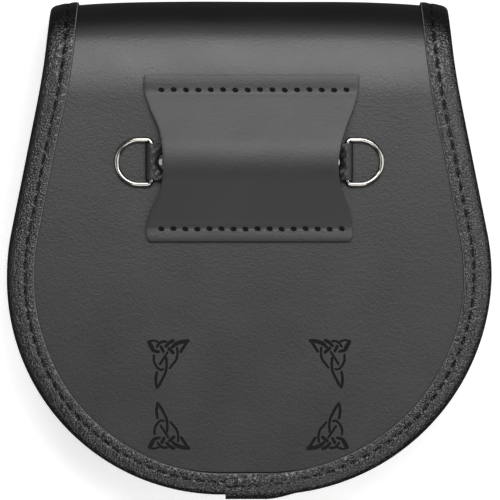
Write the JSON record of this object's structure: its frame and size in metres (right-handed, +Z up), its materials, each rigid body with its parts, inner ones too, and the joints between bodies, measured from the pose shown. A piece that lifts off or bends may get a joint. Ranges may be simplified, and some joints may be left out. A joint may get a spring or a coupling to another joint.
{
  "type": "sporran pouch",
  "caption": "Rounded leather pouch with a bound edge and a flap rolled over its top, a belt loop across the back and a hinged D-ring at each end of the loop.",
  "frame": {"origin": "centre of the outline, on the surface that the pouch lies on", "axes": "+Z up out of the back panel, +Y towards the rolled top edge, +X to the right seen from behind"},
  "size_m": [0.2003, 0.2062, 0.0534],
  "materials": {
    "smooth_leather": "smooth, satin, black",
    "grained_leather": "coarse pebbled grain, glossy, black",
    "soft_leather": "soft, slightly glossy, black",
    "nickel": "polished nickel plate"
  },
  "bodies": {
    "pouch": {"back_flap_panel": "smooth_leather", "front_panel": "smooth_leather", "gusset": "soft_leather", "edge_binding": "grained_leather", "front_binding": "grained_leather", "belt_loop": "smooth_leather", "flap_clasp": "nickel", "ring_tab_left": "soft_leather", "rivet_left": "nickel", "ring_tab_right": "soft_leather", "rivet_right": "nickel"},
    "left_ring": {"d_ring_left": "nickel"},
    "right_ring": {"d_ring_right": "nickel"}
  },
  "joints": [
    {"name": "left_ring_hinge", "type": "hinge", "parent": "pouch", "child": "left_ring", "pos_m": [-0.0404, 0.0364, 0.04765], "axis": [0, 1, 0], "range_deg": [0, 95]},
    {"name": "right_ring_hinge", "type": "hinge", "parent": "pouch", "child": "right_ring", "pos_m": [0.0404, 0.0364, 0.04765], "axis": [0, -1, 0], "range_deg": [0, 95]}
  ]
}
